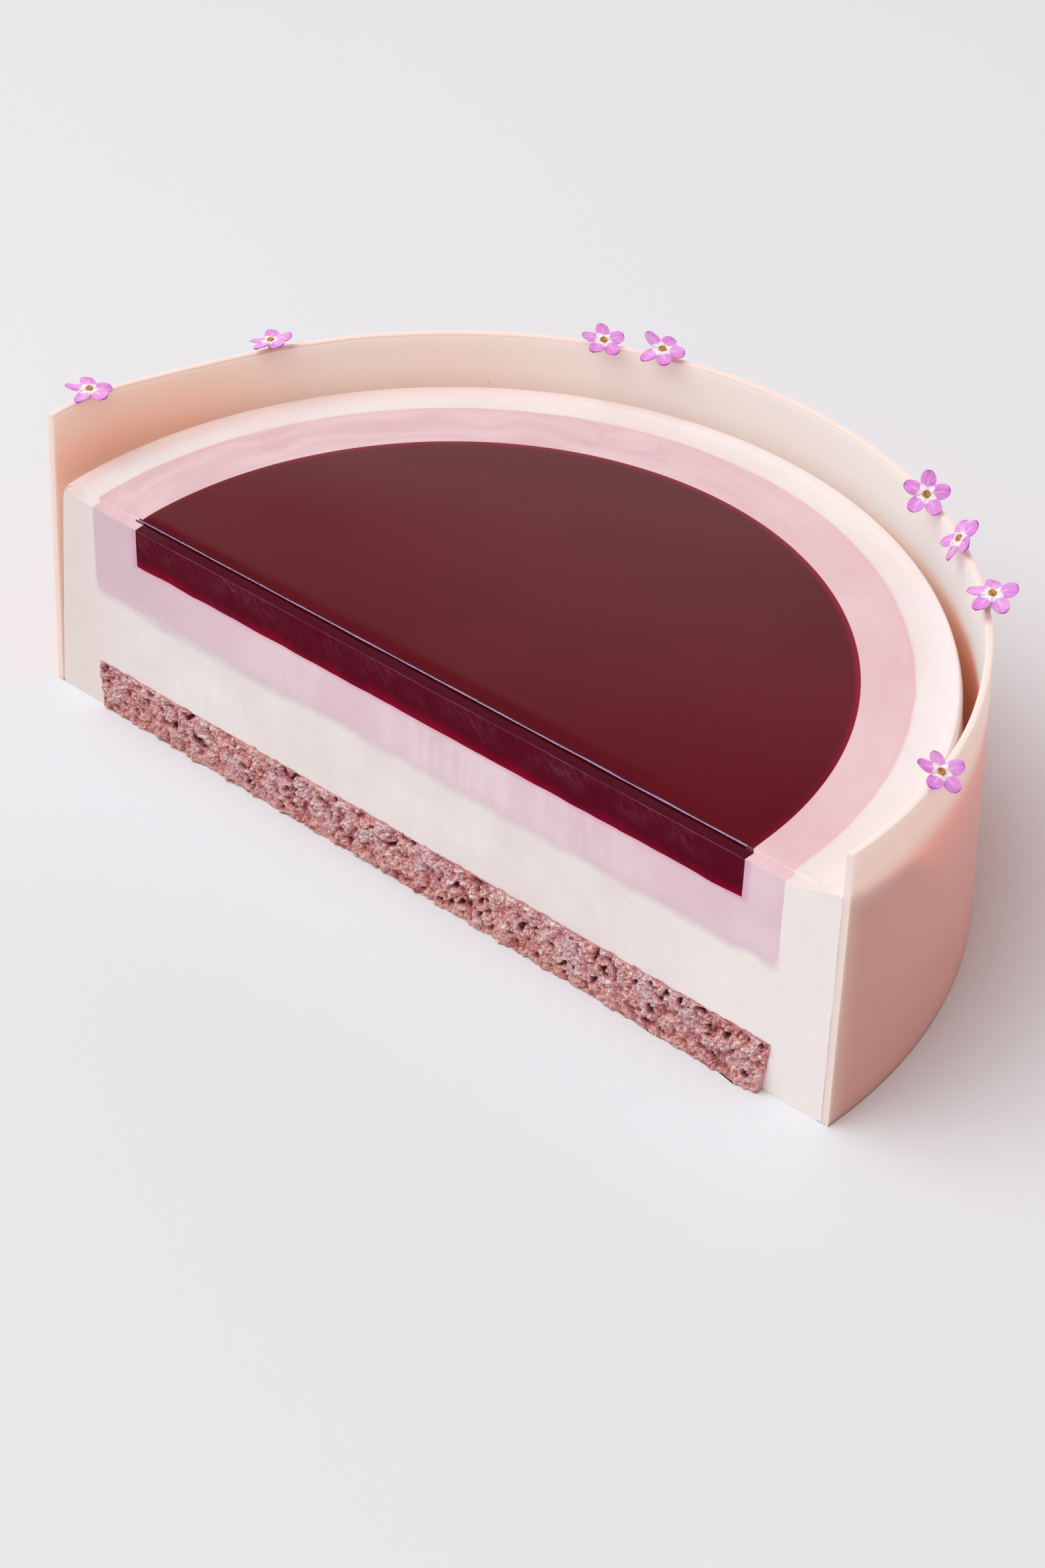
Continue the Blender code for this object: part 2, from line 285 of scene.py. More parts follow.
class Paint(Nodes):
    # one material: colours are laid over its first one, and the last goes to the shader

    def __init__(self, name, colour, roughness, gloss, **subsurface):
        self.material = bpy.data.materials.new(name)
        self.material.use_nodes = True
        super().__init__(self.material.node_tree)
        self.shader = self.tree.nodes["Principled BSDF"]
        self.colour = colour
        self.set("Roughness", roughness)
        self.set("Specular IOR Level", gloss)
        for label, value in subsurface.items():
            self.set("Subsurface " + label.capitalize(), value)

    def set(self, label, value):
        self.shader.inputs[label].default_value = value

    def lay(self, colour, *masks):
        # where all the masks are
        self.colour = self.blend(self.times(*masks), self.colour, colour)

    def done(self, height=None, distance=0.0001, strength=1.0):
        self.tree.links.new(self.colour, self.shader.inputs["Base Color"])
        if height is not None:
            bump = self.put("Bump", {"Height": height, "Distance": distance, "Strength": strength})
            self.tree.links.new(bump.outputs["Normal"], self.shader.inputs["Normal"])
        return self.material


def newGroup(name, takes):
    # a group that puts out one mask; an input with no value is a vector
    tree = bpy.data.node_groups.new(name, "ShaderNodeTree")
    for label, value in takes.items():
        kind = "NodeSocketVector" if value is None else "NodeSocketFloat"
        socket = tree.interface.new_socket(label, in_out="INPUT", socket_type=kind)
        if value is not None:
            socket.default_value = value
    tree.interface.new_socket("Mask", in_out="OUTPUT", socket_type="NodeSocketFloat")
    nodes = Nodes(tree)
    return nodes, nodes.put("NodeGroupInput").outputs


def closeGroup(nodes, mask):
    nodes.put("NodeGroupOutput", {"Mask": mask})
    return nodes.tree


def makeMottle():
    # soft clouds: a mask from 0 to 1
    nodes, takes = newGroup("softMottle", {"Vector": None, "Scale": 60.0, "Detail": 3.0, "Spread": 0.2})
    clouds = nodes.noise(takes["Vector"], takes["Scale"], takes["Detail"])
    low, high = nodes.minus(0.5, takes["Spread"]), nodes.plus(0.5, takes["Spread"])
    return closeGroup(nodes, nodes.ramp(clouds, low, high))


def makePores():
    # small pits here and there: a mask that is 1 inside them
    nodes, takes = newGroup("finePores", {"Vector": None, "Scale": 500.0, "Size": 0.25, "Share": 0.5})
    cells = nodes.put("TexVoronoi", {"Vector": takes["Vector"], "Scale": takes["Scale"]}).outputs
    pit = nodes.ramp(cells["Distance"], takes["Size"], nodes.times(takes["Size"], 0.4))
    chosen = nodes.put("SeparateColor", {"Color": cells["Color"]}).outputs[0]
    return closeGroup(nodes, nodes.times(pit, nodes.math("LESS_THAN", chosen, takes["Share"])))


def makeBorder():
    # a soft, straying border at a level of one coordinate: a mask that is 1 above it
    nodes, takes = newGroup("softBorder", {"Value": 0.0, "Level": 0.0, "Width": 0.001, "Stray": 0.5,
                                           "Reach": 0.001})
    away = nodes.times(nodes.minus(takes["Stray"], 0.5), takes["Reach"])
    spot = nodes.minus(nodes.plus(takes["Value"], away), takes["Level"])
    return closeGroup(nodes, nodes.ramp(spot, nodes.times(takes["Width"], -1.0), takes["Width"]))


softMottle, finePores, softBorder = makeMottle(), makePores(), makeBorder()
print("node groups made")


# cream: elderflower mousse

cream = {
    "colour": rgb(239, 230, 228), "shade": rgb(234, 221, 217), "collarBounce": rgb(240, 202, 191),
    "cut": rgb(246, 238, 236), "cutShade": rgb(240, 228, 225), "cutLeft": rgb(236, 223, 218),
    "cutRight": rgb(252, 244, 241), "shadowBand": rgb(214, 200, 206), "pore": rgb(205, 184, 176),
    "smear": rgb(226, 200, 208), "roughness": 0.50, "cutRoughness": 0.58,
    "spongeTop": 0.0729, "spongeFoot": 0.0722, "spongeHeight": 0.0088,
    # the rim stands up a little under the glaze's thin end: how far in from the top radius, and height
    "rim": ((0, 0.0371), (0.00012, 0.0381), (0.00048, 0.0390), (0.0010, 0.0395), (0.0017, 0.0396),
            (0.0026, 0.0393), (0.0038, cake["layersTop"]))
}
insert = {
    "colour": rgb(231, 198, 201), "shade": rgb(226, 187, 191), "swirl": rgb(240, 216, 217),
    "rim": rgb(224, 172, 180), "deep": rgb(222, 182, 187), "cut": rgb(239, 211, 220),
    "cutShade": rgb(233, 201, 212), "cutLeft": rgb(222, 192, 201), "streak": rgb(244, 226, 233),
    "stain": rgb(222, 150, 184), "roughness": 0.45, "cutRoughness": 0.50,
    "radius": 0.0727, "base": 0.0236, "corner": 0.0017
}
jelly = {
    "colour": rgb(96, 10, 25), "shade": rgb(88, 5, 18), "lipShade": rgb(76, 12, 30),
    "rim": rgb(138, 12, 46), "cut": rgb(90, 6, 29), "cutHaze": rgb(90, 12, 36),
    "crackGlint": rgb(160, 92, 122), "cutFoot": rgb(140, 2, 40), "lipHighlight": rgb(146, 88, 106),
    "roughness": 0.3, "cutRoughness": 0.42, "radius": 0.0638, "base": 0.0320, "shift": (0.0015, -0.0010),
    "sliceHigh": 0.0005, "ridge": 0.07, "lean": 42
}


def paintCream():
    paint = Paint("creamTop", cream["colour"], cream["roughness"], 0.35)
    spot = paint.spot()
    clouds, pits = paint.mottle(spot, 45.0), paint.pores(spot, 420.0, 0.16, 0.12)
    paint.lay(cream["shade"], clouds)
    paint.lay(cream["pore"], pits, 0.35)
    away = paint.fromAxis(spot)
    paint.lay(insert["colour"], paint.ramp(away, insert["radius"] + 0.0006, insert["radius"] - 0.0003), 0.5)
    # painted light: the collar's colour, bounced onto the rim at the left
    left = paint.ramp(paint.parts(spot, "X")[0], 0.0, -0.060)
    paint.lay(cream["collarBounce"], left, paint.ramp(away, 0.0745, 0.0796, 0.0, 0.65))
    return paint.done(paint.minus(clouds, pits), 0.00006, 0.5)


def straySpot(paint):
    # how the border of the pink layer strays on the cut
    return paint.mottle(paint.spot(scale=(150, 150, 30)), spread=0.3)


def paintCreamCut():
    paint = Paint("creamCut", cream["cut"], cream["cutRoughness"], 0.25)
    spot = paint.spot()
    x, z = paint.parts(spot, "XZ")
    clouds, pits = paint.mottle(spot, 85.0, 4.0), paint.pores(spot, 480.0, 0.12, 0.10)
    drag = paint.mottle(paint.spot(scale=(900, 900, 130)), spread=0.3)
    paint.lay(cream["cutShade"], clouds)
    paint.lay(cream["cutShade"], drag, 0.35)
    paint.lay(cream["cutLeft"], paint.ramp(x, -0.066, -0.077))
    paint.lay(cream["cutRight"], paint.ramp(x, 0.040, 0.066, 0.0, 0.8))
    paint.lay(cream["pore"], pits, 0.25)
    # the pink layer is smeared a little way down over the cream
    stray = straySpot(paint)
    smear = paint.border(z, insert["base"] - 0.0009, 0.0011, stray, 0.0012)
    inside = paint.ramp(paint.size(x), insert["radius"] + 0.0006, insert["radius"] - 0.0010)
    paint.lay(cream["smear"], smear, inside, paint.ramp(z, 0.0290, 0.0250), 0.75)
    # a painted shadow: a greyish band under it at the left
    along = paint.times(paint.ramp(x, -0.066, -0.058), paint.ramp(x, -0.020, -0.036))
    high = paint.times(paint.ramp(z, 0.0208, 0.0226), paint.timesPlus(stray, 0.5, 0.15))
    paint.lay(cream["shadowBand"], along, high)
    relief = paint.plus(paint.times(drag, 0.6), clouds)
    return paint.done(paint.minus(relief, paint.times(pits, 0.5)), 0.00008, 0.6)


def wanderRim(bm):
    # the ring where pink meets cream on top isn't quite round
    for v in bm.verts:
        if abs(v.co.xy.length - insert["radius"]) < 1e-6 and v.co.z > cake["layersTop"] - 1e-6:
            v.co.xy *= 1 + 0.0030 * noise.noise(v.co * 210)


def makeCream():
    r, base, bend, high = insert["radius"], insert["base"], insert["corner"], cream["spongeHeight"]
    outline = [(0, high), (cream["spongeTop"], high), (cream["spongeFoot"], 0)]
    outline += [(cake["footRadius"] - 0.0004, 0), (cake["footRadius"], 0.0006)]
    outline += [(cake["topRadius"] - inward, z) for inward, z in cream["rim"]] + [(r, cake["layersTop"])]
    outline += arcPoints((r - bend, base + bend), bend, 0, -90) + [(0, base)]
    bm = spinRound(outline)
    wanderRim(bm)
    sliceCut(bm)
    wanderCut(bm)
    addPiece("elderflowerMousse", bm, [creamPaint, creamCutPaint], ["elderflower_mousse"], cut=True)


creamPaint, creamCutPaint = paintCream(), paintCreamCut()
makeCream()


# pink raspberry mousse insert

def paintInsert():
    paint = Paint("insertTop", insert["colour"], insert["roughness"], 0.3)
    spot = paint.spot()
    x, y = paint.parts(spot, "XY")
    away = paint.fromAxis(spot)
    # marbled streaks run along the ring and bend into each other, most of all towards the back left
    turn = paint.math("ARCTAN2", y, x)
    across = paint.plus(paint.times(away, 330.0), paint.times(paint.noise(spot, 55.0, 1.0), 4.0))
    laid = paint.put("CombineXYZ", {"X": paint.times(turn, 2.6), "Y": across}).outputs[0]
    swirls, clouds = paint.mottle(laid, detail=1.5), paint.mottle(spot, 70.0)
    left = paint.ramp(paint.minus(y, x), 0.02, 0.09)
    paint.lay(insert["shade"], clouds)
    paint.lay(insert["deep"], left, 0.75)
    paint.lay(insert["swirl"], swirls, paint.timesPlus(left, 0.40, 0.10))
    paint.lay(insert["rim"], paint.ramp(away, insert["radius"] - 0.0012, insert["radius"] - 0.0002), 0.30)
    paint.lay(cream["shade"], paint.ramp(away, insert["radius"] - 0.00045, insert["radius"] + 0.0002), 0.5)
    return paint.done(clouds, 0.00005, 0.4)


def paintInsertCut():
    paint = Paint("insertCut", insert["cut"], insert["cutRoughness"], 0.25)
    spot = paint.spot()
    x, z = paint.parts(spot, "XZ")
    clouds = paint.mottle(spot, 110.0, 4.0)
    drag = paint.mottle(paint.spot(scale=(560, 560, 50)), detail=2.0, spread=0.13)
    wide = paint.mottle(paint.spot(scale=(75, 75, 12)), spread=0.16)
    paint.lay(insert["cutShade"], clouds)
    paint.lay(insert["cutLeft"], paint.ramp(x, -0.030, -0.066))
    # the blade drew pale streaks down the middle of the cut
    middle = paint.ramp(paint.size(paint.minus(x, 0.006)), 0.046, 0.022, 0.03, 0.50)
    streaks = paint.times(drag, wide, middle)
    paint.lay(insert["streak"], streaks)
    # paler where it thins out into the cream, and deeper beside the jelly
    thin = paint.border(z, insert["base"] + 0.0010, 0.0018, straySpot(paint), 0.0016)
    paint.lay(cream["smear"], paint.minus(1.0, thin), 0.5)
    under = paint.ramp(paint.size(paint.minus(x, jelly["shift"][0])), 0.0652, 0.0640)
    paint.lay(insert["stain"], paint.ramp(z, 0.0309, 0.0321), under, 0.5)
    return paint.done(paint.plus(paint.times(streaks, 0.8), clouds), 0.00009, 0.6)


def makeInsert():
    r, top, bend, pocket = insert["radius"], cake["layersTop"], insert["corner"], jelly["radius"]
    outline = [(0, insert["base"])] + arcPoints((r - bend, insert["base"] + bend), bend, -90, 0)
    outline += [(r, top), (pocket, top), (pocket, jelly["base"]), (0, jelly["base"])]
    bm = spinRound(outline)
    wanderRim(bm)
    inside = [v for v in bm.verts if v.co.xy.length < pocket + 1e-5 and v.co.z > insert["base"] + 1e-4]
    bmesh.ops.translate(bm, verts=inside, vec=(*jelly["shift"], 0))
    sliceCut(bm)
    wanderCut(bm)
    addPiece("raspberryMousse", bm, [paintInsert(), paintInsertCut()], ["raspberry_mousse"],
             cut=True)


makeInsert()


# raspberry jelly

def paintJelly():
    paint = Paint("jellyTop", jelly["colour"], jelly["roughness"], 0.05)
    spot = paint.spot(move=(-jelly["shift"][0], -jelly["shift"][1], 0))
    away, clouds = paint.fromAxis(spot), paint.mottle(spot, 26.0)
    paint.lay(jelly["shade"], clouds)
    # painted light: a brighter crimson glow near the edge, where light scatters through, stronger towards the
    # back
    edge = paint.ramp(away, jelly["radius"] - 0.0014, jelly["radius"] - 0.0001)
    paint.lay(jelly["rim"], edge, paint.ramp(paint.parts(spot, "Y")[0], 0.010, 0.035, 0.35, 0.9))
    # darker just behind the cut, where it shows under the front edge of the glaze
    y, z = paint.parts(paint.spot(), "YZ")
    behind = paint.timesPlus(z, -knife["lean"], y)
    paint.lay(jelly["lipShade"], paint.ramp(behind, knife["footY"] + 0.0026, knife["footY"] + 0.0014))
    return paint.done()


def paintJellyCut():
    paint = Paint("jellyCut", jelly["cut"], jelly["cutRoughness"], 0.02)
    z = paint.parts(paint.spot(), "Z")[0]
    haze = paint.mottle(paint.leaning(jelly["lean"], (140, 140, 60)), detail=4.0, spread=0.22)
    upper = paint.ramp(z, 0.0335, 0.0372)
    paint.lay(jelly["cutHaze"], haze, upper)
    # thin pale cracks where the jelly tore, slanting down to the right and only here and there, with a
    # painted glint on them
    torn = paint.noise(paint.leaning(jelly["lean"], (620, 620, 170)), 1.0, 2.0, Roughness=0.6)
    crack = paint.ramp(paint.size(paint.minus(torn, 0.5)), 0.020, 0.004)
    sparse = paint.noise(paint.spot(move=(0.3, 0, 0)), 170.0, 2.0)
    place = paint.ramp(sparse, 0.55, 0.66)
    paint.lay(jelly["crackGlint"], crack, place, paint.timesPlus(upper, 0.6, 0.2), 0.32)
    # fine strokes in the upper part, with a painted glint
    strokes = paint.mottle(paint.leaning(jelly["lean"], (1500, 1500, 420)), detail=2.0, spread=0.12)
    strokes = paint.times(strokes, upper, paint.ramp(sparse, 0.36, 0.62))
    paint.lay(jelly["crackGlint"], strokes, 0.09)
    foot = paint.border(z, jelly["base"] + 0.0007, 0.0013, haze, 0.0014)
    paint.colour = paint.blend(foot, jelly["cutFoot"], paint.colour)
    # a painted highlight: the top edge of the cut catching the light, just under the glaze
    highlightBand = paint.ramp(z, cake["layersTop"] - 0.00026, cake["layersTop"] - 0.00012)
    paint.lay(jelly["lipHighlight"], highlightBand, paint.timesPlus(haze, 0.4, 0.25))
    return paint.done(paint.plus(haze, strokes), 0.00012, 0.8)


def jellyRidge(x, z):
    # in millimetres: the torn ridges lean on the cut, and fade out towards its edges
    inner = min(1, (z - 32.0) / 0.8, (38.9 - z) / 0.5)
    inner = max(0, min(inner, (63.4 - abs(x - 1.5)) / 1.0))
    return uneven((x + 0.9 * z) / 0.9, (z - 0.9 * x) / 3.0, 4) * jelly["ridge"] * inner


def makeJelly():
    r, top = jelly["radius"], cake["layersTop"]
    bm = spinRound([(0, jelly["base"]), (r, jelly["base"]), (r, top), (0, top)])
    bmesh.ops.translate(bm, verts=bm.verts[:], vec=(*jelly["shift"], 0))
    sliceCut(bm, jelly["sliceHigh"])
    for v in bm.verts:
        if onKnife(v.co):
            v.co += knifeWander(v.co) + Vector((0, -jellyRidge(v.co.x * 1000, v.co.z * 1000), 0)) / 1000
    addPiece("raspberryJelly", bm, [paintJelly(), paintJellyCut()], ["raspberry_jelly"], cut=True)


makeJelly()


# clear glaze over the top

glaze = {
    "thickness": 0.0024, "overRim": 0.00274, "rimDrop": 0.0039, "sink": 0.0002, "setBack": 0.00008,
    "lip": 0.00036, "lipStray": 0.4, "sag": 0.00022, "sagReach": 0.0034, "shadeWidth": 0.00014,
    "shade": rgb(84, 28, 44), "lipTint": (0.78, 0.62, 1.0, 1), "lipBend": 2.1, "cutBend": 1.08, "bend": 1.36,
    # millimetres behind the cut where the skin is divided, closest on the lip
    "behind": (0.02, 0.05, 0.09, 0.13, 0.18, 0.23, 0.29, 0.35, 0.42, 0.5, 0.62, 0.8, 1.1, 1.6, 2.3, 3.1, 4.0)
}


def paintGlaze(name, bend, colour=(1, 1, 1, 1), tint=(1, 1, 1, 1)):
    paint = Paint(name, colour, 0.0, 0.5)
    paint.set("Base Color", colour)
    paint.set("Transmission Weight", 1.0)
    paint.set("IOR", bend)
    paint.set("Specular Tint", tint)
    return paint.material


def lipDrop(x, behind):
    # how far the rounded front edge of the glaze lies under the flat top, this far behind the cut
    lip = glaze["lip"] * (1 + glaze["lipStray"] * uneven(x * 150, 2, 7))
    drop = lip - math.sqrt(lip ** 2 - (lip - behind) ** 2) if behind < lip else 0.0
    share = max(0.0, 1 - behind / glaze["sagReach"]) ** 2 * (1 + 0.35 * uneven(x * 130, 3, 1))
    return drop + glaze["sag"] * share


def makeGlaze():
    top, low = cake["layersTop"] + glaze["thickness"], cake["layersTop"] - glaze["sink"]
    bend, wide, tall = cake["shoulder"], glaze["overRim"], glaze["rimDrop"]
    ringRadius, ringLevel = cake["topRadius"] + 0.00004 - wide, top - tall
    shadeLevel, side = top - glaze["shadeWidth"], knife["side"]
    outline = [(0, low)]
    outline += arcPoints((cake["topRadius"] - bend, cake["layersTop"] - bend), bend - glaze["sink"], 90, 6)
    outline += arcPoints((ringRadius, ringLevel), wide, 3, 90, 12, tall) + [(0, top)]
    bm = spinRound(outline)
    foot = Vector((0, knife["footY"] + glaze["setBack"], 0))
    knifeCut(bm, foot.y)

    def behindCut(spot):
        return (foot - spot).dot(side)

    # the skin behind the cut is divided finely enough for its lip and its sag
    upper = [f for f in bm.faces if f.normal.z > 0.999 and f.calc_center_median().z > top - 1e-5]
    bmesh.ops.dissolve_faces(bm, faces=upper)
    geom = around([f for f in bm.faces if f.normal.z > 0.06 and f.normal.dot(side) < 0.9])
    for behind in glaze["behind"]:
        geom = split(bm, geom, foot - side * behind / 1000, side)
    strip = [f for f in facesOf(geom) if f.normal.z > 0.999 and behindCut(f.calc_center_median()) < 0.0040]
    sliceEvenly(bm, strip, acrossCut, -0.079, 0.079, 0.001)
    front = [f for f in bm.faces if f.normal.dot(side) > 0.9]
    for end in (-1, 1):
        edge = jelly["shift"][0] + end * (jelly["radius"] - 0.0003)
        front = facesOf(split(bm, around(front), acrossCut * edge, acrossCut))
    front = facesOf(split(bm, around(front), upwards * shadeLevel, upwards))
    front = [f for f in front if f.calc_center_median().z > shadeLevel]
    sliceEvenly(bm, front, acrossCut, -0.079, 0.079, 0.001)

    # slots: 0 the skin, 1 the cut, 2 the shining lip over the jelly, 3 the dark line along its edge
    for f in bm.faces:
        middle = f.calc_center_median()
        behind = behindCut(middle)
        overJelly = abs(middle.x - jelly["shift"][0]) < jelly["radius"] - 0.0004
        f.material_index = 2 if f.normal.z > 0.06 and behind < 1.5 * glaze["lip"] and overJelly else 0
        if f.material_index == 2 and behind < 0.26 * glaze["lip"]:
            f.material_index = 3
        if f.normal.dot(side) > 0.9:
            f.material_index = 3 if overJelly and middle.z > shadeLevel else 1
    for v in bm.verts:
        over, lift = max(0.0, v.co.xy.length - ringRadius) / wide, (v.co.z - ringLevel) / tall
        up = Vector((*(v.co.xy.normalized() * over / wide), lift / tall)).normalized()
        behind = max(0.0, behindCut(v.co))
        onSkin = abs(over ** 2 + lift ** 2 - 1) < 0.03 and v.co.z > ringLevel and behind < glaze["sagReach"]
        if onSkin or v.co.z > shadeLevel - 1e-6:
            move = up * -lipDrop(v.co.x, behind) * (1 - 0.85 * min(1.0, over))
            v.co += Vector((move.x, knife["lean"] * move.z, move.z))
    paints = [paintGlaze("clearGlaze", glaze["bend"]), paintGlaze("clearGlazeCut", glaze["cutBend"]),
              paintGlaze("clearGlazeLip", glaze["lipBend"], tint=glaze["lipTint"]),
              paintGlaze("clearGlazeShade", glaze["cutBend"], glaze["shade"])]
    made = addPiece("clearGlazeTop", bm, paints, ["clear_glaze"], sharp=50)
    made.visible_shadow = False
    made.visible_diffuse = False


makeGlaze()


# sponge

sponge = {
    "crumb": rgb(255, 194, 199), "mauve": rgb(250, 195, 206), "salmon": rgb(254, 180, 176),
    "light": rgb(255, 246, 240), "beige": rgb(252, 224, 204), "deep": rgb(74, 8, 14),
    "berry": rgb(176, 16, 66), "skin": rgb(234, 170, 156), "creaseShade": rgb(170, 60, 70),
    "roughness": 0.85, "step": 0.00032, "drag": 0.0013
}


def crumbRelief(x, z):
    # in millimetres, how far the crumb stands out; then how deep a hole is there, and how much painted shade
    # falls in a crease
    clump, lump = uneven(x / 2.4, z / 1.9, 1.7), uneven(x / 0.95, z / 0.85, 3.3)
    knobs = abs(uneven(x / 0.66 + 2 * clump, z / 0.62, 5.1))
    grains = abs(uneven(x / 0.31, z / 0.31 + 2 * lump, 9.7))
    proud = 0.62 * clump + 0.46 * lump + 0.80 * knobs + 0.40 * grains - 0.30
    hole = max(0.0, uneven(x / 1.3, z / 1.0, 7.5) - 0.20)
    hole = min(0.8, hole * 2.6 * max(0.0, 0.5 + 1.6 * uneven(x / 6, z / 5, 2)))
    creaseShade = max(0.0, 1 - knobs / 0.13) * 0.8 + max(0.0, 1 - grains / 0.11) * 0.55
    creaseShade += max(0.0, -1.5 * lump - 0.15) + max(0.0, -1.3 * clump - 0.15)
    return proud, hole, creaseShade


def paintSponge():
    paint = Paint("spongeCrumb", sponge["crumb"], sponge["roughness"], 0.12,
                  weight=0.5, radius=(1.0, 0.45, 0.4), scale=0.0005)
    spot = paint.spot()
    deep = paint.put("Attribute", attribute_name="crumbShade").outputs["Fac"]
    proud = paint.put("Attribute", attribute_name="crumbHighlight").outputs["Fac"]
    patches, fine = paint.mottle(spot, 330.0, 3.0, 0.10), paint.mottle(spot, 2600.0, 2.0, 0.09)
    warm = paint.mottle(paint.spot(move=(0.2, 0, 0)), 210.0, 2.0, 0.10)
    pale = paint.mottle(paint.spot(move=(0.4, 0, 0)), 2300.0, 2.0, 0.08)
    paint.lay(sponge["mauve"], patches)
    paint.lay(sponge["salmon"], warm)
    # painted highlight: paler specks on the proud crumbs
    paint.lay(sponge["light"], pale, paint.ramp(proud, 0.25, 0.85, 0.20, 1.0))
    paint.lay(sponge["beige"], paint.pores(spot, 700.0, 0.42, 0.12), 0.6)
    # painted shade between the fine grains
    paint.lay(sponge["creaseShade"], fine, 0.30)
    # bits of raspberry, longer than wide
    bits = paint.pores(paint.leaning(35, (480, 480, 260)), 1.0, 0.40, 0.09)
    dust = paint.pores(spot, 900.0, 0.34, 0.09)
    paint.lay(sponge["berry"], paint.math("MAXIMUM", paint.times(bits, 0.9), paint.times(dust, 0.6)))
    height = paint.timesPlus(patches, 0.0009, paint.parts(spot, "Z")[0])
    paint.lay(sponge["skin"], paint.ramp(height, 0.0050, 0.0010, 0.0, 0.5))
    # painted shade: darker in the creases and darkest in the holes
    paint.lay(sponge["creaseShade"], paint.ramp(deep, 0.06, 0.50, 0.0, 0.62))
    paint.lay(sponge["deep"], paint.ramp(deep, 0.38, 1.0, 0.0, 0.95))
    return paint.done(paint.minus(pale, fine), 0.00018, 0.9)


def raggedEdge(x, size, finer, seed):
    return max(0, 0.45 * uneven(x / size, seed, 2) + 0.30 * uneven(x / finer, seed, 2))


def makeSponge():
    high = cream["spongeHeight"]
    bm = spinRound([(0, 0), (cream["spongeFoot"], 0), (cream["spongeTop"], high), (0, high)])
    face = sliceEvenly(bm, knifeCut(bm), upwards, 0, high, sponge["step"])
    face = sliceEvenly(bm, face, acrossCut, -0.0732, 0.0732, sponge["step"])
    edges = list({e for f in face for e in f.edges})
    bmesh.ops.subdivide_edges(bm, edges=edges, cuts=1, use_grid_fill=True)
    fanOut(bm)
    shadeLayer = bm.verts.layers.float.new("crumbShade")
    highlightLayer = bm.verts.layers.float.new("crumbHighlight")
    for v in bm.verts:
        if not onKnife(v.co):
            continue
        x, z = v.co.x * 1000, v.co.z * 1000
        proud, hole, creaseShade = crumbRelief(x, z)
        pull = sponge["drag"] * (0.5 + v.co.x / 0.146) * (1 - v.co.z / high)
        level = min(1, (8.8 - z) / 0.5)     # the crumb runs out level with the cream above it
        hole *= min(1, max(0, z - 0.5) / 0.9)
        # painted shade: dark in the holes and creases, and in a line along the top under the cream
        v[shadeLayer] = min(1.0, (hole * 1.1 + creaseShade * 0.50) * level + 0.35 * max(0, 1 - level) ** 2)
        # painted highlight: the prouder the crumb, the paler it is painted
        v[highlightLayer] = 0.5 + proud * 1.2
        spill = max(0, 0.2 + uneven(x / 2.8, 3, 4) + 0.7 * uneven(x / 0.9, 3, 4))
        spill *= 0.75 * near(z, 0.5, 1.2)     # crumbs that hang over the foot
        out = 0.12 + (0.12 + proud * min(1, 0.45 + z / 2)) * level - 1.0 * hole * level + spill
        v.co.y -= out / 1000 + pull
        if z > 8.79:
            v.co.z += raggedEdge(x, 2.3, 0.7, 5) / 1000
        elif z > 0.01:
            v.co.z += 0.12 * uneven(x / 0.5, z / 0.5, 12) / 1000
        else:
            v.co.z += raggedEdge(x, 1.2, 0.6, 6) / 1000
        v.co.x += 0.10 * uneven(x / 0.5, z / 0.5, 22) / 1000
    addPiece("raspberrySponge", bm, [paintSponge()], ["sponge_base"], sharp=80)


makeSponge()


# chocolate collar

collar = {
    "pale": rgb(255, 238, 231), "palestLit": rgb(255, 249, 246), "salmon": rgb(253, 191, 174),
    "gapShade": rgb(255, 162, 134), "gapShadeBack": rgb(255, 207, 193), "outTopLit": rgb(255, 212, 203),
    "outLowShade": rgb(236, 159, 149), "outEdgeGlow": rgb(255, 184, 170), "edge": rgb(251, 229, 221),
    "edgePeach": rgb(250, 214, 200), "speck": rgb(120, 84, 74), "roughness": 0.42, "height": 0.0492,
    "thickness": 0.00125, "footRadius": 0.08435, "topRadius": 0.0837, "flare": 0.0013, "lift": 0.0015,
    "dieAway": 13.0, "leftLean": 0.090, "start": -12, "steps": 170
}


def sprung(angle):
    # how far the left end springs out and up, from 1 there to nothing further round the rim
    return math.exp(-((180.0 - angle) / collar["dieAway"]) ** 2)


def collarRadius(angle, share):
    top = collar["topRadius"] + collar["flare"] * sprung(angle)
    return collar["footRadius"] + (top - collar["footRadius"]) * share


def collarHeight(angle):
    return collar["height"] + collar["lift"] * sprung(angle)


def collarRipple(angle, share):
    return 0.00012 * uneven(angle / 14, share * 2, 6) * share


